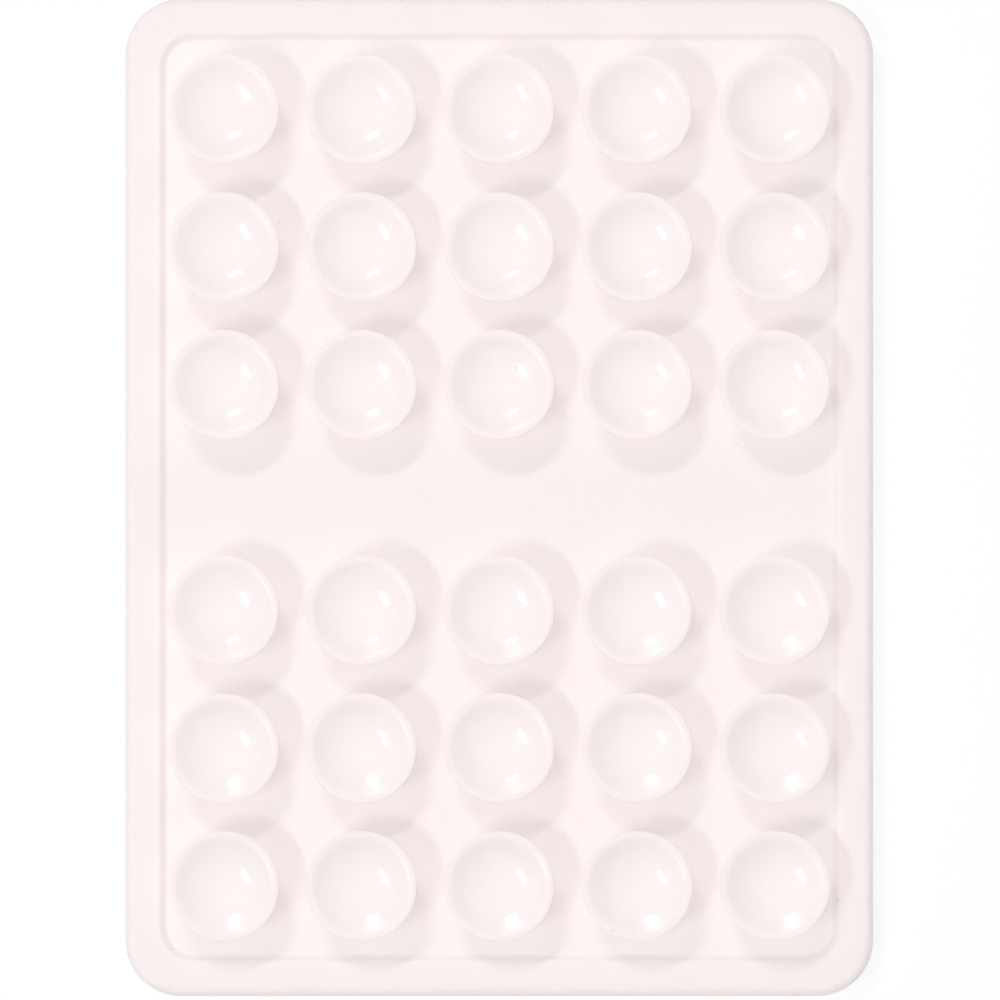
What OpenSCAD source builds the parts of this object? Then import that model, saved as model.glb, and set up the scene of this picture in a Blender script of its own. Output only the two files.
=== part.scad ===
// Suction cup phone holder: a soft silicone pad with a raised rim and two blocks of small
// suction cups, with a blank band between the blocks. An adhesive sheet on its back fixes it
// to a phone or its case, and a release liner covers the adhesive until then.
// The holder lies on its back with the cups up. The origin is at the middle of the liner's
// lower face. X runs across the holder and Y along it.

/* [Suction cups] */
// Number of cups side by side
cup_cols = 5; // [2:1:6]
// Rows of cups in each of the two blocks
block_rows = 3; // [1:1:4]
// Diameter of a cup over its lip
cup_d = 8.8; // [7.5:0.1:10]
// Clear distance between the lips of neighbouring cups
cup_gap = 2.2; // [1:0.1:4]
// Clear distance between the lips on either side of the blank band
band_gap = 9.2; // [4:0.2:20]
// Height of the lips above the sheet
cup_h = 3.4; // [3:0.1:4.5]
// Radius of the hollow's ball-shaped surface
bowl_r = 6.8; // [6.5:0.1:10]
// Width of the ring on top of a lip
lip_w = 0.5; // [0.3:0.05:0.7]
// Rounding along a lip's outer top edge
lip_edge_r = 0.25; // [0.1:0.05:0.3]
// Thickness of a lip at its outer edge
lip_h = 0.4; // [0.35:0.05:0.6]
// Diameter of the neck that carries a cup
neck_d = 4.4; // [3.5:0.1:5]
// Height of the neck, from the sheet to where the cup flares out
neck_h = 0.8; // [0.5:0.1:1.2]

/* [Pad] */
// Thickness of the silicone sheet under the cups
sheet_t = 1.6; // [1:0.1:3]
// Width of the raised rim
rim_w = 3; // [2:0.1:4]
// Height of the rim above the sheet
rim_h = 0.45; // [0.35:0.05:1.2]
// Clear distance between the outer columns' lips and the rim, seen from above
side_gap = 0.6; // [0.4:0.1:3]
// Clear distance between the end rows' lips and the rim, seen from above
end_gap = 1.6; // [0.4:0.1:4]
// Radius of the pad's outer corners
corner_r = 4.5; // [3.5:0.1:6]
// Radius of the corners inside the rim
inner_corner_r = 2.5; // [1.5:0.1:3]
// Rounding along the rim's outer top edge
edge_r = 0.9; // [0.3:0.1:1.2]
// Rounding along the rim's inner top edge
rim_edge_r = 0.2; // [0.1:0.05:0.3]
// Fillet between the rim and the sheet inside it
floor_r = 0.25; // [0.1:0.05:0.6]

/* [Back] */
// Thickness of the adhesive sheet
adhesive_t = 0.3; // [0.2:0.05:0.8]
// Distance from the pad's outer edge to the adhesive sheet's edge
adhesive_inset = 1; // [0.5:0.1:2]
// Thickness of the release liner
liner_t = 0.12; // [0.1:0.01:0.3]

/* [Hidden] */
$fn = 96;
// How far a cutting shape runs past what it cuts
cut_over = 0.5;
// Sag of the curve under a cup, as a share of the straight line between the curve's ends
flare_sag_share = 0.17;

rows = 2 * block_rows;
pitch = cup_d + cup_gap;
cup_r = cup_d / 2;
bowl_mouth_r = cup_r - lip_w;
bowl_centre_h = cup_h + sqrt(bowl_r * bowl_r - bowl_mouth_r * bowl_mouth_r);

// The flare under a cup is one arc from the top of the neck to the lip's lower edge
flare_w = cup_r - neck_d / 2;
flare_h = cup_h - lip_h - neck_h;
flare_angle = 2 * atan(2 * flare_sag_share);
flare_r = sqrt(flare_w * flare_w + flare_h * flare_h) / 2 / sin(flare_angle);
flare_centre_x = neck_d / 2 + flare_w / 2 + flare_h / 2 / tan(flare_angle);
flare_centre_h = neck_h + flare_h / 2 - flare_w / 2 / tan(flare_angle);

field_w = cup_cols * cup_d + (cup_cols - 1) * cup_gap + 2 * side_gap;
block_l = block_rows * cup_d + (block_rows - 1) * cup_gap;
field_l = 2 * block_l + band_gap + 2 * end_gap;
pad_w = field_w + 2 * rim_w;
pad_l = field_l + 2 * rim_w;

adhesive_z = liner_t;
pad_z = adhesive_z + adhesive_t;
sheet_top_z = pad_z + sheet_t;
fillet_r = min(floor_r, rim_h - rim_edge_r);

backing_w = pad_w - 2 * adhesive_inset;
backing_l = pad_l - 2 * adhesive_inset;
backing_corner_r = corner_r - adhesive_inset;

// Row 1 is at the far end, and column 1 on the left
function cup_name(row, col) = str("suction_cup_r", row, "_c", col);
function cup_x(col) = (col - (cup_cols + 1) / 2) * pitch;
function rows_from_band(row) = row <= block_rows ? block_rows - row : row - block_rows - 1;
function cup_side(row) = row <= block_rows ? 1 : -1;
function cup_y(row) = cup_side(row) * (band_gap / 2 + cup_r + rows_from_band(row) * pitch);

cup_names = [for (row = [1:rows]) for (col = [1:cup_cols]) cup_name(row, col)];

// A flat plate with round corners, centred on the origin
module round_plate(w, l, r, t) {
    linear_extrude(t) {
        square([w - 2 * r, l], center = true);
        square([w, l - 2 * r], center = true);
        for (x = [-1, 1]) {
            for (y = [-1, 1]) {
                translate([x * (w / 2 - r), y * (l / 2 - r)]) circle(r);
            }
        }
    }
}

// A plate with round corners. Its edge has the section that is given as the child, which is
// drawn from the corners' centre line out.
module edged_plate(w, l, r, t) {
    core_w = w - 2 * r;
    core_l = l - 2 * r;
    translate([-core_w / 2, -core_l / 2]) cube([core_w, core_l, t]);
    for (turn = [0, 180]) {
        rotate(turn) translate([0, core_l / 2]) edge_run(core_w) children();
        rotate(turn + 90) translate([0, core_w / 2]) edge_run(core_l) children();
        rotate(turn) translate([core_w / 2, core_l / 2]) rotate_extrude(angle = 90) children();
        rotate(turn) translate([-core_w / 2, core_l / 2]) rotate(90) {
            rotate_extrude(angle = 90) children();
        }
    }
}

// One straight side of such a plate, along X, with its outer face on the far side
module edge_run(run) {
    translate([-run / 2, 0]) rotate([90, 0, 90]) linear_extrude(run) children();
}

// Section through the pad's outer edge, with its top rounded
module pad_edge() {
    square([corner_r - edge_r, sheet_t + rim_h]);
    square([corner_r, sheet_t + rim_h - edge_r]);
    translate([corner_r - edge_r, sheet_t + rim_h - edge_r]) intersection() {
        circle(edge_r);
        square(edge_r);
    }
}

// Section through the edge of the hollow inside the rim. It has a fillet along the floor and
// leaves the rim's inner top edge rounded.
module hollow_edge() {
    square([inner_corner_r - fillet_r, rim_h + cut_over]);
    translate([0, fillet_r]) square([inner_corner_r, rim_h + cut_over - fillet_r]);
    translate([inner_corner_r - fillet_r, fillet_r]) circle(fillet_r);
    difference() {
        translate([0, rim_h - rim_edge_r]) square([inner_corner_r + rim_edge_r, rim_edge_r + cut_over]);
        translate([inner_corner_r + rim_edge_r, rim_h - rim_edge_r]) circle(rim_edge_r);
    }
}

// The silicone moulding without its cups: the sheet and the rim around it
module silicone_pad() {
    color([0.98, 0.94, 0.93]) translate([0, 0, pad_z]) difference() {
        edged_plate(pad_w, pad_l, corner_r, sheet_t + rim_h) pad_edge();
        translate([0, 0, sheet_t]) {
            edged_plate(field_w, field_l, inner_corner_r, rim_h + cut_over) hollow_edge();
        }
    }
}

// Half section of a cup before it is hollowed: the neck, the flare and the round-edged lip
module cup_section() {
    difference() {
        union() {
            polygon([
                [0, 0],
                [neck_d / 2, 0],
                [neck_d / 2, neck_h],
                [cup_r, cup_h - lip_h],
                [cup_r, cup_h - lip_edge_r],
                [cup_r - lip_edge_r, cup_h],
                [0, cup_h],
            ]);
            translate([cup_r - lip_edge_r, cup_h - lip_edge_r]) circle(lip_edge_r);
        }
        intersection() {
            translate([flare_centre_x, flare_centre_h]) circle(flare_r);
            translate([0, neck_h]) square([cup_r + cut_over, flare_h]);
        }
    }
}

// A suction cup with the neck that it stands on
module suction_cup(row, col) {
    color([0.99, 0.95, 0.94]) translate([cup_x(col), cup_y(row), sheet_top_z]) difference() {
        rotate_extrude() cup_section();
        translate([0, 0, bowl_centre_h]) sphere(bowl_r);
    }
}

// The double-sided adhesive sheet on the pad's back
module adhesive_sheet() {
    color([0.93, 0.93, 0.91]) translate([0, 0, adhesive_z]) {
        round_plate(backing_w, backing_l, backing_corner_r, adhesive_t);
    }
}

// The release liner that covers the adhesive until the holder is stuck on
module release_liner() {
    color([0.97, 0.97, 0.95]) round_plate(backing_w, backing_l, backing_corner_r, liner_t);
}

silicone_pad();
for (row = [1:rows]) {
    for (col = [1:cup_cols]) {
        suction_cup(row, col);
    }
}
adhesive_sheet();
release_liner();
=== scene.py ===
import math

import bpy
from mathutils import Matrix, Vector


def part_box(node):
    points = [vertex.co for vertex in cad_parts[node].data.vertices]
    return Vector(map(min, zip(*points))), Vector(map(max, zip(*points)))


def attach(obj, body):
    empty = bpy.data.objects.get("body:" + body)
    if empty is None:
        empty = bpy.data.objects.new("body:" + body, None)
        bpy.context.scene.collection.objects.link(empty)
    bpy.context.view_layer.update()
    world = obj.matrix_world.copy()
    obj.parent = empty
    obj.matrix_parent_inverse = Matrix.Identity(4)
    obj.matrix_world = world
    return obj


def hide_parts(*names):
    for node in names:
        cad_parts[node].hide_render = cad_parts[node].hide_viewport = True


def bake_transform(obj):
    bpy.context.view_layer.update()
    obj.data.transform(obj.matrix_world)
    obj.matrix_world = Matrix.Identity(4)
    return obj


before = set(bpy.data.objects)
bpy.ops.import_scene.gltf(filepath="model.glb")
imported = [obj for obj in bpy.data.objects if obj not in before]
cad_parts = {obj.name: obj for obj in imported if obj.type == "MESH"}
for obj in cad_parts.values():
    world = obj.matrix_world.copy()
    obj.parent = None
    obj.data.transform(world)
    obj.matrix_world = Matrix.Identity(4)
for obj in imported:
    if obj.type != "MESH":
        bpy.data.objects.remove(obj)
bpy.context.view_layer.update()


# The silicone pad
# The sheet and its rim come out of one compression mould, in soft silicone with a satin skin from
# the blasted tool. The rim is slightly crowned, and a thin line of flash marks where the mould
# halves met. The cups are one moulding with it, and the adhesive sheet holds it to the phone.
MM = 0.001
pad_low, pad_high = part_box("silicone_pad")
pad_width = pad_high.x - pad_low.x
pad_length = pad_high.y - pad_low.y
sheet_thickness = 1.6 * MM
sheet_top = pad_low.z + sheet_thickness
rim_width = 3.0 * MM
outer_corner_radius = 4.5 * MM
inner_corner_radius = 2.5 * MM
outer_edge_round = 1.0 * MM
parting_slope = math.radians(50)
inner_wall_run = 0.8 * MM
underside_edge_round = 0.12 * MM
underside_edge_steps = 4
outer_edge_steps = 10
rim_crown = 0.02 * MM
crown_steps = 8
inner_wall_steps = 16
flash_width = 0.1 * MM
flash_tip_width = 0.025 * MM
flash_reach = 0.035 * MM
support_band = 0.4 * MM
corner_steps = 20
long_side_steps = 16
short_side_steps = 12


def rounded_outline(width, length, corner_radius):
    """Points of a rectangle with round corners, counter-clockwise from its lower side's right end."""
    points = []
    corners = ((1, -1, -90, long_side_steps), (1, 1, 0, short_side_steps),
               (-1, 1, 90, long_side_steps), (-1, -1, 180, short_side_steps))
    for k, (side_x, side_y, start, steps) in enumerate(corners):
        centre = Vector((side_x * (width / 2 - corner_radius), side_y * (length / 2 - corner_radius)))
        for step in range(corner_steps + 1):
            angle = math.radians(start + 90 * step / corner_steps)
            points.append(centre + corner_radius * Vector((math.cos(angle), math.sin(angle))))
        next_x, next_y, next_start, _ = corners[(k + 1) % 4]
        next_centre = Vector((next_x * (width / 2 - corner_radius), next_y * (length / 2 - corner_radius)))
        angle = math.radians(next_start)
        target = next_centre + corner_radius * Vector((math.cos(angle), math.sin(angle)))
        here = points[-1]
        for step in range(1, steps):
            points.append(here.lerp(target, step / steps))
    return points


def quarter_round(steps):
    """Pairs (sine, cosine) from 0 to 90 degrees."""
    return [(math.sin(math.radians(90 * k / steps)), math.cos(math.radians(90 * k / steps)))
            for k in range(steps + 1)]


def pad_section():
    """The pad's edge as (inset from the outline, height, corner radius), from the underside over
    the parting line and the rim and down to the sheet inside it."""
    wall_inset = flash_reach
    rim_top = pad_high.z
    section = []
    for sine, cosine in quarter_round(underside_edge_steps):
        inset = wall_inset + underside_edge_round * (1 - sine)
        section.append((inset, pad_low.z + underside_edge_round * (1 - cosine)))
    edge_top = rim_top - rim_crown
    flash_z = edge_top - outer_edge_round * (1 - math.cos(parting_slope)) - flash_width / 2
    section.append((wall_inset, flash_z - flash_width / 2))
    section.append((0.0, flash_z - flash_tip_width / 2))
    section.append((0.0, flash_z + flash_tip_width / 2))
    for step in range(outer_edge_steps + 1):
        slope = parting_slope * (1 - step / outer_edge_steps)
        inset = wall_inset + outer_edge_round * (math.sin(parting_slope) - math.sin(slope))
        section.append((inset, edge_top - outer_edge_round * (1 - math.cos(slope))))
    crown_from = wall_inset + outer_edge_round * math.sin(parting_slope)
    crown_to = rim_width - inner_wall_run / 2
    for k in range(1, crown_steps):
        share = k / crown_steps
        rise = rim_crown * (1 - (2 * share - 1) ** 2)
        section.append((crown_from + (crown_to - crown_from) * share, edge_top + rise))
    for k in range(inner_wall_steps + 1):
        share = k / inner_wall_steps
        inset = crown_to + inner_wall_run * share
        drop = (edge_top - sheet_top) * (1 - math.cos(math.pi * share)) / 2
        section.append((inset, edge_top - drop))
    section.append((rim_width + inner_wall_run / 2 + support_band, sheet_top))
    return [(inset, height, corner_radius_at(inset)) for inset, height in section]


def corner_radius_at(inset):
    """Corners stay concentric with the outline near the outer edge and with the hollow near it."""
    outer = outer_corner_radius - inset
    inner = inner_corner_radius + rim_width - inset
    if inset <= outer_edge_round:
        return outer
    if inset >= rim_width - inner_wall_run / 2:
        return inner
    span = rim_width - inner_wall_run / 2 - outer_edge_round
    share = (inset - outer_edge_round) / span
    return outer + (inner - outer) * share * share * (3 - 2 * share)


def joined_rings(name, rings):
    """A closed skin over a stack of rings of points, with a flat face over each end."""
    count = len(rings[0])
    points = [point for ring in rings for point in ring]
    faces = [tuple(reversed(range(count)))]
    for level in range(len(rings) - 1):
        low, high = level * count, (level + 1) * count
        for k in range(count):
            after = (k + 1) % count
            faces.append((low + k, low + after, high + after, high + k))
    faces.append(tuple(range((len(rings) - 1) * count, len(rings) * count)))
    mesh = bpy.data.meshes.new(name)
    mesh.from_pydata(points, [], faces)
    mesh.update()
    mesh.shade_smooth()
    piece = bpy.data.objects.new(name, mesh)
    bpy.context.scene.collection.objects.link(piece)
    return piece


def silicone_pad():
    section = pad_section()
    first_inset, first_height, _ = section[0]
    under = support_band + first_inset
    section.insert(0, (under, first_height, outer_corner_radius - under))
    rings = []
    for inset, height, radius in section:
        outline = rounded_outline(pad_width - 2 * inset, pad_length - 2 * inset, radius)
        rings.append([(p.x, p.y, height) for p in outline])
    return joined_rings("pad_moulding", rings)


def shader(material, kind, values=None, **settings):
    """A shader node of that kind in a material, or in the world, with settings on the node and
    values on its sockets."""
    node = material.node_tree.nodes.new(kind)
    for name, value in settings.items():
        setattr(node, name, value)
    for name, value in (values or {}).items():
        socket = node.inputs[name]
        if isinstance(value, bpy.types.NodeSocket):
            material.node_tree.links.new(value, socket)
        else:
            socket.default_value = value
    return node


def new_material(name):
    material = bpy.data.materials.new(name)
    material.use_nodes = True
    return material, material.node_tree.nodes["Principled BSDF"]


noise_low = 0.3
noise_high = 0.7


def clouds(material, place, size, detail=2.0, low=0.0, high=1.0):
    """Soft noise whose blotches are about size across, from low to high."""
    noise = shader(material, "ShaderNodeTexNoise", {"Vector": place, "Scale": 1 / size, "Detail": detail})
    spread = shader(material, "ShaderNodeMapRange", {"Value": noise.outputs["Fac"],
                                                     "From Min": noise_low, "From Max": noise_high,
                                                     "To Min": low, "To Max": high})
    return spread.outputs["Result"]


def roughened(material, height, depth, under=None):
    """A bump of that depth, over another one."""
    values = {"Height": height, "Distance": depth, "Strength": 1.0}
    if under is not None:
        values["Normal"] = under
    return shader(material, "ShaderNodeBump", values).outputs["Normal"]


def tint(material, share, first, second):
    """The first colour, turned towards the second by that share."""
    mix = shader(material, "ShaderNodeMix", data_type="RGBA")
    material.node_tree.links.new(share, mix.inputs[0])
    for socket, colour in ((mix.inputs[6], first), (mix.inputs[7], second)):
        if isinstance(colour, bpy.types.NodeSocket):
            material.node_tree.links.new(colour, socket)
        else:
            socket.default_value = (*colour, 1.0)
    return mix.outputs[2]


def specks(material, place, cell, radius, share):
    """1 on a few tiny specks: one in each square cell, kept in that share of the cells."""
    cells = shader(material, "ShaderNodeTexVoronoi", {"Vector": place, "Scale": 1 / cell},
                   voronoi_dimensions="2D")
    near = shader(material, "ShaderNodeMapRange", {"Value": cells.outputs["Distance"], "From Min": 0.0,
                                                   "From Max": radius / cell, "To Min": 1.0, "To Max": 0.0})
    parts = shader(material, "ShaderNodeSeparateColor", {"Color": cells.outputs["Color"]})
    kept = shader(material, "ShaderNodeMath", {0: parts.outputs["Red"], 1: share}, operation="LESS_THAN")
    both = shader(material, "ShaderNodeMath", {0: near.outputs["Result"], 1: kept.outputs[0]},
                  operation="MULTIPLY")
    return both.outputs[0]


cloud_size = 5 * MM
cloud_tone = (0.998, 0.993, 0.992)
dust_cell = 9 * MM
dust_radius = 0.11 * MM
dust_share = 0.16
dust_tone = 0.72
gloss_patch = 2.2 * MM
wave_size = 3.5 * MM
grain_size = 0.12 * MM
haze_by_channel = (1.0, 0.95, 0.93)
silicone_refraction = 1.41
thin_from = sheet_top + 2.7 * MM
thin_to = sheet_top + 3.15 * MM
lip_roughness = 0.26
# Painted shade: the sheet and rim are the same silicone as the cups, but their colour is set a little darker
# than the cups' to stand in for shade on the sheet.
pad_colour_with_painted_shade = (0.917, 0.855, 0.845)


def silicone(name, colour, thin_colour_with_painted_shade, haze, haze_reach, rough_low, rough_high, grain_depth, wave_depth):
    """Soft pale silicone: light goes a little way in, as far as the haze reaches. The skin has a fine grain
    and slow waves, and a few specks of dust cling to it. At the cups' lips, where it is thin, it is less
    glossy and takes a slightly darker colour, partly the thin silicone's own look and partly painted shade."""
    material, skin = new_material(name)
    place = shader(material, "ShaderNodeTexCoord").outputs["Object"]
    cloud = clouds(material, place, cloud_size, detail=4.0)
    deeper = [channel * share for channel, share in zip(colour, cloud_tone)]
    body = tint(material, cloud, colour, deeper)
    height = shader(material, "ShaderNodeSeparateXYZ", {0: place}).outputs["Z"]
    thinness = shader(material, "ShaderNodeMapRange", {"Value": height, "From Min": thin_from,
                                                       "From Max": thin_to},
                      interpolation_type="SMOOTHSTEP").outputs["Result"]
    # The thin lips take a darker colour: partly the thin silicone's own look, partly painted shade.
    body = tint(material, thinness, body, thin_colour_with_painted_shade)
    dust = specks(material, place, dust_cell, dust_radius, dust_share)
    body = tint(material, dust, body, [channel * dust_tone for channel in colour])
    material.node_tree.links.new(body, skin.inputs["Base Color"])
    rough = clouds(material, place, gloss_patch, detail=3.0, low=rough_low, high=rough_high)
    rough = shader(material, "ShaderNodeMix", {0: thinness, 2: rough, 3: lip_roughness}).outputs[0]
    material.node_tree.links.new(rough, skin.inputs["Roughness"])
    waves = roughened(material, clouds(material, place, wave_size, detail=1.0), wave_depth)
    grain = roughened(material, clouds(material, place, grain_size), grain_depth, waves)
    material.node_tree.links.new(grain, skin.inputs["Normal"])
    skin.inputs["IOR"].default_value = silicone_refraction
    skin.inputs["Subsurface Weight"].default_value = haze
    skin.inputs["Subsurface Radius"].default_value = haze_by_channel
    skin.inputs["Subsurface Scale"].default_value = haze_reach
    return material


pad = silicone_pad()
# The pad's colour carries painted shade: it is a little darker than the cups' colour.
pad.data.materials.append(silicone("satin_silicone_with_painted_shade", pad_colour_with_painted_shade, pad_colour_with_painted_shade, haze=0.3,
                                   haze_reach=0.3 * MM, rough_low=0.40, rough_high=0.50,
                                   grain_depth=0.004 * MM, wave_depth=0.010 * MM))
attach(pad, "pad")
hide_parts("silicone_pad")


# The suction cups
# Thirty small cups stand on short necks in two blocks, all one moulding with the sheet. Their
# hollows are ball-shaped and polished in the tool, so that they seal, and each lip rounds over to
# a thin sharp edge. Each cup leans a little its own way, as soft mouldings do.
cup_low, cup_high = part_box("suction_cup_r1_c1")
cup_radius = (cup_high.x - cup_low.x) / 2
cup_height = cup_high.z - sheet_top
cup_columns = 5
cup_rows = 6
next_low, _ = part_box("suction_cup_r1_c2")
cup_pitch = next_low.x - cup_low.x
band_low, band_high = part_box("suction_cup_r3_c1")
band_row_y = (band_low.y + band_high.y) / 2
hollow_radius = 6.8 * MM
ball_reach = 2.85 * MM
flank_radius = 40 * MM
lip_round = 1.2 * MM
lip_crest = 4.2 * MM
lip_corner = 0.012 * MM
lip_corner_lead = 8
lip_corner_end = -10
lip_thickness = 0.4 * MM
lip_undercut = 0.1 * MM
neck_radius = 2.2 * MM
neck_height = 0.8 * MM
neck_root = 0.3 * MM
neck_sunk = 0.05 * MM
flare_sag_share = 0.17
cup_lean = math.radians(0.5)
lean_room = cup_radius * math.tan(cup_lean)
steps_round = 96
ball_steps = 20
flank_steps = 8
lip_steps = 12
lip_corner_steps = 5
flare_steps = 14
root_steps = 6
seam_width = 0.0001 * MM
lean_seed = 7
cup_colour = (0.957, 0.872, 0.867)
# Partly painted shade: the lips' colour is a little darker than the cups'.
lip_colour_with_painted_shade = (0.943, 0.857, 0.845)


def arc(centre_r, centre_z, radius, start, end, steps):
    """Points (distance from the axis, height) on an arc, with angles in degrees."""
    points = []
    for k in range(steps + 1):
        angle = math.radians(start + (end - start) * k / steps)
        points.append((centre_r + radius * math.cos(angle), centre_z + radius * math.sin(angle)))
    return points


def flare_arc(top_r, top_z, low_r, low_z, steps):
    """The sagging curve under the cup, from the lip's lower edge down to the neck."""
    width, height = top_r - low_r, top_z - low_z
    half_turn = 2 * math.atan(2 * flare_sag_share)
    radius = math.hypot(width, height) / 2 / math.sin(half_turn)
    centre_r = (top_r + low_r) / 2 + height / 2 / math.tan(half_turn)
    centre_z = (top_z + low_z) / 2 - width / 2 / math.tan(half_turn)
    start = math.degrees(math.atan2(top_z - centre_z, top_r - centre_r))
    end = math.degrees(math.atan2(low_z - centre_z, low_r - centre_r))
    return arc(centre_r, centre_z, radius, start, end, steps)


def cup_section(height):
    """Half the cup's section from the middle of the hollow, over the lip and down to the sheet.
    The hollow is a ball with a flatter flank, and the lip rounds over to a sharp outer edge."""
    crest_z = height - lip_round
    reach = flank_radius + lip_round
    ball_turn = math.asin(ball_reach / hollow_radius)
    flank_turn = math.asin((lip_crest - ball_reach + flank_radius * math.sin(ball_turn)) / reach)
    flank_r = lip_crest - reach * math.sin(flank_turn)
    flank_z = crest_z + reach * math.cos(flank_turn)
    ball_z = flank_z - (flank_radius - hollow_radius) * math.cos(ball_turn)
    ball_end, flank_end = math.degrees(ball_turn), math.degrees(flank_turn)
    section = arc(0, ball_z, hollow_radius, -90, -90 + ball_end, ball_steps)
    section += arc(flank_r, flank_z, flank_radius, -90 + ball_end, -90 + flank_end, flank_steps)[1:]
    edge = math.acos((cup_radius - lip_corner - lip_crest) / lip_round)
    section += arc(lip_crest, crest_z, lip_round, 90 + flank_end, math.degrees(edge), lip_steps)[1:]
    edge_r, edge_z = section[-1]
    section.insert(-1, (edge_r - lip_corner, edge_z + lip_corner / math.tan(edge)))
    corner_from = math.degrees(edge) - lip_corner_lead
    section += arc(edge_r, edge_z - lip_corner, lip_corner, corner_from, lip_corner_end, lip_corner_steps)
    flare_top = height - lip_thickness
    section += flare_arc(edge_r - lip_undercut, flare_top, neck_radius, neck_height, flare_steps)
    section += arc(neck_radius + neck_root, neck_root, neck_root, 180, 270, root_steps)
    section += [(neck_radius + neck_root, -neck_sunk), (0.0, -neck_sunk)]
    return section


def section_line(name, section):
    """The section as a line of points in the XZ plane."""
    mesh = bpy.data.meshes.new(name)
    points = [(r, 0.0, z) for r, z in section]
    mesh.from_pydata(points, [(k, k + 1) for k in range(len(points) - 1)], [])
    return mesh


class Tree:
    """A geometry nodes tree with named inputs, built one node at a time."""

    def __init__(self, name, inputs):
        self.group = bpy.data.node_groups.new(name, "GeometryNodeTree")
        self.group.is_modifier = True
        for label, kind in inputs:
            self.group.interface.new_socket(label, in_out="INPUT", socket_type=kind)
        self.group.interface.new_socket("Piece", in_out="OUTPUT", socket_type="NodeSocketGeometry")
        self.given = self.group.nodes.new("NodeGroupInput").outputs

    def node(self, kind, values=None, **settings):
        node = self.group.nodes.new(kind)
        for name, value in settings.items():
            setattr(node, name, value)
        for name, value in (values or {}).items():
            self.feed(node.inputs[name], value)
        return node

    def feed(self, socket, value):
        if isinstance(value, bpy.types.NodeSocket):
            self.group.links.new(value, socket)
        else:
            socket.default_value = value

    def sum(self, operation, first, second=None):
        values = {0: first}
        if second is not None:
            values[1] = second
        return self.node("ShaderNodeMath", values, operation=operation).outputs[0]

    def finish(self, geometry):
        """Real geometry, in its material, out of the tree."""
        real = self.node("GeometryNodeRealizeInstances", {"Geometry": geometry}).outputs[0]
        dressed = self.node("GeometryNodeSetMaterial", {"Geometry": real, "Material": self.given["Material"]})
        out = self.group.nodes.new("NodeGroupOutput")
        self.group.links.new(dressed.outputs[0], out.inputs["Piece"])


def cup_tree():
    """Turns the section round its axis into one cup, and stands it on the chosen seat."""
    tree = Tree("cup on its seat", [
        ("Section", "NodeSocketGeometry"), ("Steps round", "NodeSocketInt"),
        ("Columns", "NodeSocketInt"), ("Rows", "NodeSocketInt"), ("Pitch", "NodeSocketFloat"),
        ("Band shift", "NodeSocketFloat"), ("Seat height", "NodeSocketFloat"),
        ("Lean", "NodeSocketFloat"), ("Seed", "NodeSocketInt"), ("Seat", "NodeSocketInt"),
        ("Material", "NodeSocketMaterial")])
    given = tree.given
    place = tree.node("GeometryNodeInputPosition").outputs[0]
    number = tree.node("GeometryNodeInputIndex").outputs[0]

    count = tree.node("GeometryNodeAttributeDomainSize", {"Geometry": given["Section"]})
    around = tree.sum("ADD", given["Steps round"], 1.0)
    skin = tree.node("GeometryNodeMeshGrid", {"Vertices X": count.outputs["Point Count"],
                                              "Vertices Y": around})
    along = tree.sum("FLOOR", tree.sum("DIVIDE", number, around))
    turn = tree.sum("MODULO", number, around)
    on_section = tree.node("GeometryNodeSampleIndex", {"Geometry": given["Section"], "Value": place,
                                                       "Index": along}, data_type="FLOAT_VECTOR")
    parts = tree.node("ShaderNodeSeparateXYZ", {0: on_section.outputs[0]})
    angle = tree.sum("MULTIPLY", tree.sum("DIVIDE", turn, given["Steps round"]), 2 * math.pi)
    turned = tree.node("ShaderNodeCombineXYZ", {
        "X": tree.sum("MULTIPLY", parts.outputs["X"], tree.sum("COSINE", angle)),
        "Y": tree.sum("MULTIPLY", parts.outputs["X"], tree.sum("SINE", angle)),
        "Z": parts.outputs["Z"]})
    cup = tree.node("GeometryNodeSetPosition", {"Geometry": skin.outputs["Mesh"],
                                                "Position": turned.outputs[0]})
    closed = tree.node("GeometryNodeMergeByDistance", {"Geometry": cup.outputs[0], "Distance": seam_width})
    smooth = tree.node("GeometryNodeSetShadeSmooth", {"Geometry": closed.outputs[0]})

    width = tree.sum("MULTIPLY", given["Pitch"], tree.sum("SUBTRACT", given["Columns"], 1.0))
    length = tree.sum("MULTIPLY", given["Pitch"], tree.sum("SUBTRACT", given["Rows"], 1.0))
    seats = tree.node("GeometryNodeMeshGrid", {"Size X": width, "Size Y": length,
                                               "Vertices X": given["Columns"], "Vertices Y": given["Rows"]})
    side = tree.sum("SIGN", tree.node("ShaderNodeSeparateXYZ", {0: place}).outputs["Y"])
    shift = tree.node("ShaderNodeCombineXYZ", {"Y": tree.sum("MULTIPLY", side, given["Band shift"]),
                                               "Z": given["Seat height"]})
    moved = tree.node("GeometryNodeSetPosition", {"Geometry": seats.outputs["Mesh"],
                                                  "Offset": shift.outputs[0]})
    chosen = tree.node("FunctionNodeCompare", {2: number, 3: given["Seat"]}, data_type="INT",
                       operation="EQUAL")
    back = tree.sum("MULTIPLY", given["Lean"], -1.0)
    least = tree.node("ShaderNodeCombineXYZ", {"X": back, "Y": back, "Z": -math.pi})
    most = tree.node("ShaderNodeCombineXYZ", {"X": given["Lean"], "Y": given["Lean"], "Z": math.pi})
    own_lean = tree.node("FunctionNodeRandomValue", {0: least.outputs[0], 1: most.outputs[0],
                                                     "Seed": given["Seed"]}, data_type="FLOAT_VECTOR")
    turn_to = tree.node("FunctionNodeEulerToRotation", {0: own_lean.outputs[0]})
    stood = tree.node("GeometryNodeInstanceOnPoints", {
        "Points": moved.outputs[0], "Selection": chosen.outputs[0], "Instance": smooth.outputs[0],
        "Rotation": turn_to.outputs[0]})
    tree.finish(stood.outputs[0])
    return tree.group


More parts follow.
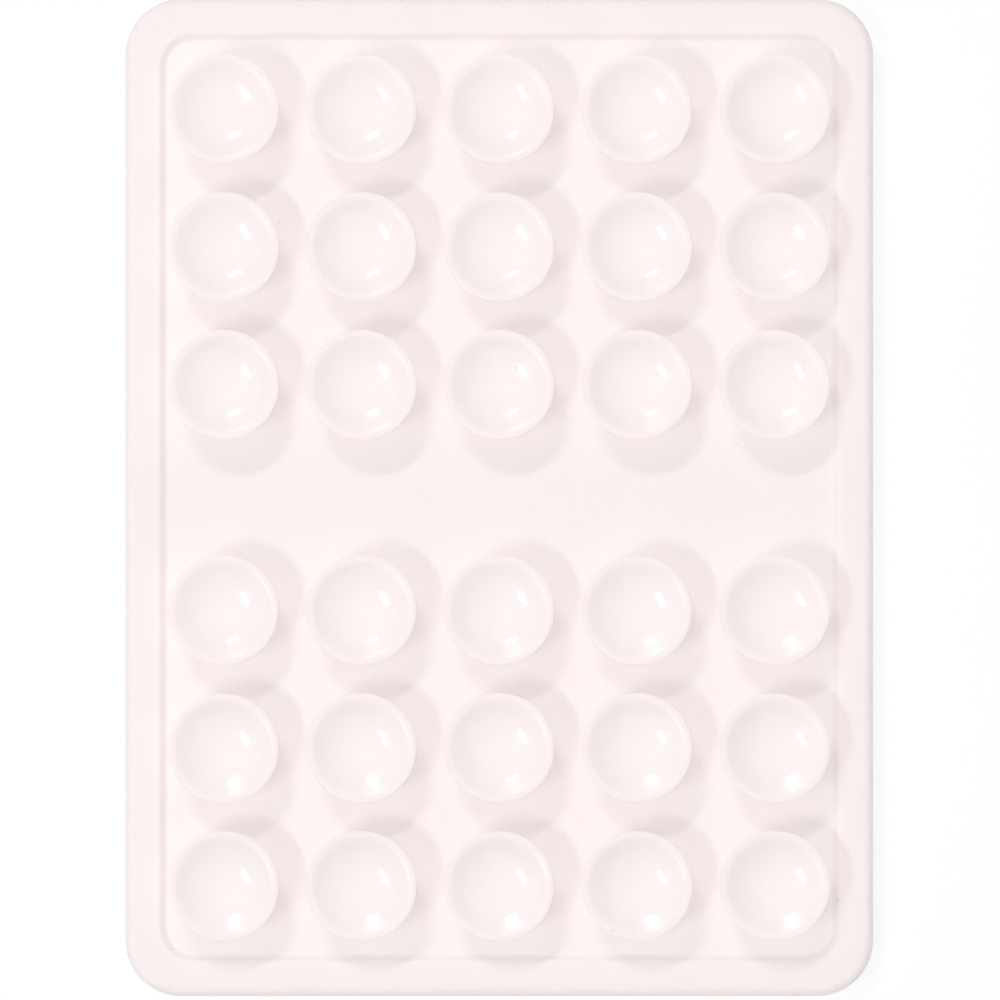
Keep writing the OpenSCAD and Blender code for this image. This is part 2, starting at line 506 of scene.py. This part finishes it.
def finished_mesh(name, start, group, values):
    """Runs the tree on a starting mesh and returns a plain object that holds the result."""
    maker = bpy.data.objects.new(name + "_maker", start)
    bpy.context.scene.collection.objects.link(maker)
    modifier = maker.modifiers.new("make", "NODES")
    modifier.node_group = group
    for item in group.interface.items_tree:
        if item.item_type == "SOCKET" and item.in_out == "INPUT" and item.name in values:
            modifier[item.identifier] = values[item.name]
    depsgraph = bpy.context.evaluated_depsgraph_get()
    mesh = bpy.data.meshes.new_from_object(maker.evaluated_get(depsgraph))
    mesh.name = name
    maker.modifiers.remove(modifier)
    bpy.data.objects.remove(maker)
    piece = bpy.data.objects.new(name, mesh)
    bpy.context.scene.collection.objects.link(piece)
    return piece


cup_silicone = silicone("polished_silicone_with_painted_lip_shade", cup_colour, lip_colour_with_painted_shade, haze=0.3, haze_reach=0.3 * MM,
                        rough_low=0.08, rough_high=0.12, grain_depth=0.0006 * MM,
                        wave_depth=0.006 * MM)
cup_line = section_line("cup_section", cup_section(cup_height - lean_room))
cups_on_seats = cup_tree()
# The seats are numbered up each column from its lowest row, and the left column comes first
for row in range(1, cup_rows + 1):
    for column in range(1, cup_columns + 1):
        place_name = f"r{row}_c{column}"
        seat = (column - 1) * cup_rows + cup_rows - row
        cup = finished_mesh("soft_cup_" + place_name, cup_line, cups_on_seats, {
            "Steps round": steps_round, "Columns": cup_columns, "Rows": cup_rows, "Pitch": cup_pitch,
            "Band shift": band_row_y - cup_pitch / 2, "Seat height": sheet_top, "Lean": cup_lean,
            "Seed": lean_seed, "Seat": seat, "Material": cup_silicone})
        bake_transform(cup)
        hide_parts("suction_cup_" + place_name)


# The adhesive sheet
# A milky double-sided adhesive, cut a little smaller than the pad, holds it to a phone's case. It
# is clear resin full of fine haze, slightly rippled, with small bubbles caught in it.
adhesive_low, adhesive_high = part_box("adhesive_sheet")
adhesive_corner_radius = 3.5 * MM
adhesive_edge_round = 0.04 * MM
cut_edge_steps = 3
clear_adhesive = (0.86, 0.86, 0.83)
hazy_adhesive = (0.80, 0.81, 0.78)
haze_size = 2.5 * MM
bubble_white = (0.93, 0.93, 0.91)
bubble_cell = 1.4 * MM
bubble_radius = 0.12 * MM
bubble_share = 0.3
bubble_depth = 0.02 * MM
ripple_size = 0.9 * MM
ripple_depth = 0.012 * MM
shine_size = 1.5 * MM
shine_low = 0.22
shine_high = 0.36
resin_refraction = 1.47
resin_haze = 0.5
resin_haze_reach = 0.6 * MM
resin_haze_by_channel = (1.0, 1.0, 0.9)


def cut_sheet(name, low, high, corner_radius, edge_round):
    """A thin sheet between two corners, with its cut edges slightly rounded."""
    centre_x, centre_y = (low.x + high.x) / 2, (low.y + high.y) / 2
    flat_from = 4 * edge_round
    heights = [(flat_from, low.z)]
    for sine, cosine in quarter_round(cut_edge_steps):
        heights.append((edge_round * (1 - sine), low.z + edge_round * (1 - cosine)))
    for sine, cosine in quarter_round(cut_edge_steps):
        heights.append((edge_round * (1 - cosine), high.z - edge_round * (1 - sine)))
    heights.append((flat_from, high.z))
    rings = []
    for inset, height in heights:
        outline = rounded_outline(high.x - low.x - 2 * inset, high.y - low.y - 2 * inset,
                                  corner_radius - inset)
        rings.append([(centre_x + p.x, centre_y + p.y, height) for p in outline])
    return joined_rings(name, rings)


def milky_adhesive():
    material, skin = new_material("milky_adhesive")
    place = shader(material, "ShaderNodeTexCoord").outputs["Object"]
    haze = clouds(material, place, haze_size, detail=5.0)
    body = tint(material, haze, clear_adhesive, hazy_adhesive)
    bubbles = specks(material, place, bubble_cell, bubble_radius, bubble_share)
    body = tint(material, bubbles, body, bubble_white)
    material.node_tree.links.new(body, skin.inputs["Base Color"])
    rough = clouds(material, place, shine_size, low=shine_low, high=shine_high)
    material.node_tree.links.new(rough, skin.inputs["Roughness"])
    ripple = roughened(material, clouds(material, place, ripple_size), ripple_depth)
    surface = roughened(material, bubbles, bubble_depth, ripple)
    material.node_tree.links.new(surface, skin.inputs["Normal"])
    skin.inputs["IOR"].default_value = resin_refraction
    skin.inputs["Subsurface Weight"].default_value = resin_haze
    skin.inputs["Subsurface Radius"].default_value = resin_haze_by_channel
    skin.inputs["Subsurface Scale"].default_value = resin_haze_reach
    return material


adhesive = cut_sheet("adhesive_layer", adhesive_low, adhesive_high, adhesive_corner_radius,
                     adhesive_edge_round)
adhesive.data.materials.append(milky_adhesive())
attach(adhesive, "pad")
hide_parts("adhesive_sheet")


# The release liner
# White glassine paper covers the adhesive until the holder is stuck on. Its inner side carries a
# glossy release coat, and its outer side is bare paper with fine fibres.
liner_low, liner_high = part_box("release_liner")
liner_edge_round = 0.015 * MM
fibre_size = 0.35 * MM
fibre_stretch = (1.0, 0.22, 1.0)
fibre_depth = 0.004 * MM
paper_white = (0.93, 0.92, 0.88)
fibre_shade = (0.885, 0.875, 0.83)
thin_patch_white = (0.95, 0.945, 0.92)
thin_patch_share = 0.35
thin_patch_size = 4 * MM
paper_patch = 1.2 * MM
paper_rough_low = 0.55
paper_rough_high = 0.68
coat_patch = 6 * MM
coat_rough_low = 0.20
coat_rough_high = 0.30
paper_refraction = 1.45


def release_paper():
    material, skin = new_material("release_paper")
    place = shader(material, "ShaderNodeTexCoord").outputs["Object"]
    stretched = shader(material, "ShaderNodeMapping", {"Vector": place, "Scale": fibre_stretch})
    fibre = clouds(material, stretched.outputs[0], fibre_size, detail=4.0)
    patches = clouds(material, place, thin_patch_size, detail=3.0)
    thin_patches = shader(material, "ShaderNodeMath", {0: patches, 1: thin_patch_share},
                          operation="MULTIPLY").outputs[0]
    body = tint(material, fibre, paper_white, fibre_shade)
    body = tint(material, thin_patches, body, thin_patch_white)
    material.node_tree.links.new(body, skin.inputs["Base Color"])
    height = shader(material, "ShaderNodeSeparateXYZ", {0: place}).outputs["Z"]
    coated = shader(material, "ShaderNodeMath", {0: height, 1: liner_high.z - liner_edge_round},
                    operation="GREATER_THAN").outputs[0]
    bare = clouds(material, place, paper_patch, low=paper_rough_low, high=paper_rough_high)
    glossy = clouds(material, place, coat_patch, low=coat_rough_low, high=coat_rough_high)
    rough = shader(material, "ShaderNodeMix", {0: coated, 2: bare, 3: glossy}, data_type="FLOAT")
    material.node_tree.links.new(rough.outputs[0], skin.inputs["Roughness"])
    material.node_tree.links.new(roughened(material, fibre, fibre_depth), skin.inputs["Normal"])
    skin.inputs["IOR"].default_value = paper_refraction
    return material


liner = cut_sheet("liner_paper_sheet", liner_low, liner_high, adhesive_corner_radius, liner_edge_round)
liner.data.materials.append(release_paper())
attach(liner, "liner")
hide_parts("release_liner")


# The table
# A plain white table top under the holder. Seen directly it is more than half bright background,
# and the rest keeps the holder's soft shadow. Far from the holder it is background only.
table_size = 3.0
shadow_reach = 0.10
fade_reach = 0.30
near_white = 0.60
table_roughness = 0.9
tone_size = 40 * MM
darkest_tone = 0.985


def table_white():
    material, skin = new_material("table_white")
    nodes, links = material.node_tree.nodes, material.node_tree.links
    skin.inputs["Roughness"].default_value = table_roughness
    skin.inputs["Specular IOR Level"].default_value = 0.0
    place = shader(material, "ShaderNodeTexCoord").outputs["Object"]
    tone = clouds(material, place, tone_size, low=darkest_tone, high=1.0)
    shade = shader(material, "ShaderNodeCombineColor", {"Red": tone, "Green": tone, "Blue": tone})
    links.new(shade.outputs[0], skin.inputs["Base Color"])
    distance = shader(material, "ShaderNodeVectorMath", {0: place}, operation="LENGTH").outputs["Value"]
    far = shader(material, "ShaderNodeMapRange", {"Value": distance, "From Min": shadow_reach,
                                                  "From Max": fade_reach, "To Min": near_white},
                 interpolation_type="SMOOTHSTEP")
    path = shader(material, "ShaderNodeLightPath")
    seen = shader(material, "ShaderNodeMath", {0: path.outputs["Is Camera Ray"],
                                               1: path.outputs["Is Glossy Ray"]}, operation="MAXIMUM")
    share = shader(material, "ShaderNodeMath", {0: far.outputs[0], 1: seen.outputs[0]},
                   operation="MULTIPLY")
    white = shader(material, "ShaderNodeEmission", {"Color": (1, 1, 1, 1), "Strength": 1.0})
    both = shader(material, "ShaderNodeMixShader", {0: share.outputs[0], 1: skin.outputs[0],
                                                    2: white.outputs[0]})
    links.new(both.outputs[0], nodes["Material Output"].inputs["Surface"])
    return material


def square_table():
    mesh = bpy.data.meshes.new("table_top")
    half = table_size / 2
    mesh.from_pydata([(-half, -half, 0), (half, -half, 0), (half, half, 0), (-half, half, 0)], [],
                     [(0, 1, 2, 3)])
    table_top = bpy.data.objects.new("table_top", mesh)
    bpy.context.scene.collection.objects.link(table_top)
    mesh.materials.append(table_white())
    return table_top


square_table()


# The light
# A small light at the lens gives about half of the light, and a white room most of the rest. Two
# soft boxes, on the left and at the far side, make the two bright spots in each hollow and the soft
# shadows beside the cups. A share is how much of a white surface's brightness a light gives.
room_share = 0.30
lamp_distance = 1.0
camera_height = 600 * MM


def soft_box(name, turn, tilt, width, depth, share, distance=lamp_distance):
    """A lamp that faces the holder from a turn round it and a tilt from straight above, in degrees."""
    light = bpy.data.lights.new(name, "AREA")
    light.shape = "RECTANGLE"
    light.size = width
    light.size_y = depth
    light.energy = math.pi ** 2 * share * distance ** 2 / math.cos(math.radians(tilt))
    lamp = bpy.data.objects.new(name, light)
    bpy.context.scene.collection.objects.link(lamp)
    angle, lean = math.radians(turn), math.radians(tilt)
    away = Vector((math.sin(lean) * math.cos(angle), math.sin(lean) * math.sin(angle), math.cos(lean)))
    across = Vector((-math.sin(angle), math.cos(angle), 0.0))
    facing = Matrix((across, away.cross(across), away)).transposed().to_4x4()
    facing.translation = away * distance
    lamp.matrix_world = facing
    return lamp


soft_box("left_box", turn=208, tilt=36, width=0.30, depth=0.10, share=0.120)
soft_box("far_box", turn=114, tilt=43, width=0.24, depth=0.06, share=0.105)
lens_light = soft_box("lens_light", turn=0, tilt=0, width=0.004, depth=0.004, share=0.49,
                      distance=pad_high.z + camera_height)
lens_light.visible_glossy = False

# Seen directly or in a reflection the room is plain white, but it lights the holder by its share
room = bpy.data.worlds.new("white_room")
bpy.context.scene.world = room
room.use_nodes = True
ray = shader(room, "ShaderNodeLightPath")
straight = shader(room, "ShaderNodeMath", {0: ray.outputs["Is Camera Ray"],
                                           1: ray.outputs["Is Transmission Ray"]}, operation="MAXIMUM")
seen_ray = shader(room, "ShaderNodeMath", {0: straight.outputs[0], 1: ray.outputs["Is Glossy Ray"]},
                  operation="MAXIMUM")
strength = shader(room, "ShaderNodeMapRange", {"Value": seen_ray.outputs[0], "To Min": room_share,
                                               "To Max": 1.0})
background = room.node_tree.nodes["Background"]
background.inputs["Color"].default_value = (1.0, 1.0, 1.0, 1.0)
room.node_tree.links.new(strength.outputs["Result"], background.inputs["Strength"])


# The camera
# It looks straight down on the holder from 0.6 m above the rim. Its view is barely wider than the
# holder is long, so the pad's two ends come close to the picture's edges.
half_view = 40.106 * MM
camera_x = 0.06 * MM
camera_y = -0.19 * MM
nearest_seen = 0.01
farthest_seen = 10.0
camera_data = bpy.data.cameras.new("camera")
camera = bpy.data.objects.new("camera", camera_data)
bpy.context.scene.collection.objects.link(camera)
camera_data.lens = camera_data.sensor_width / 2 * camera_height / half_view
camera_data.clip_start = nearest_seen
camera_data.clip_end = farthest_seen
camera.location = (camera_x, camera_y, pad_high.z + camera_height)
bpy.context.scene.camera = camera
bpy.context.scene.view_settings.view_transform = "Standard"
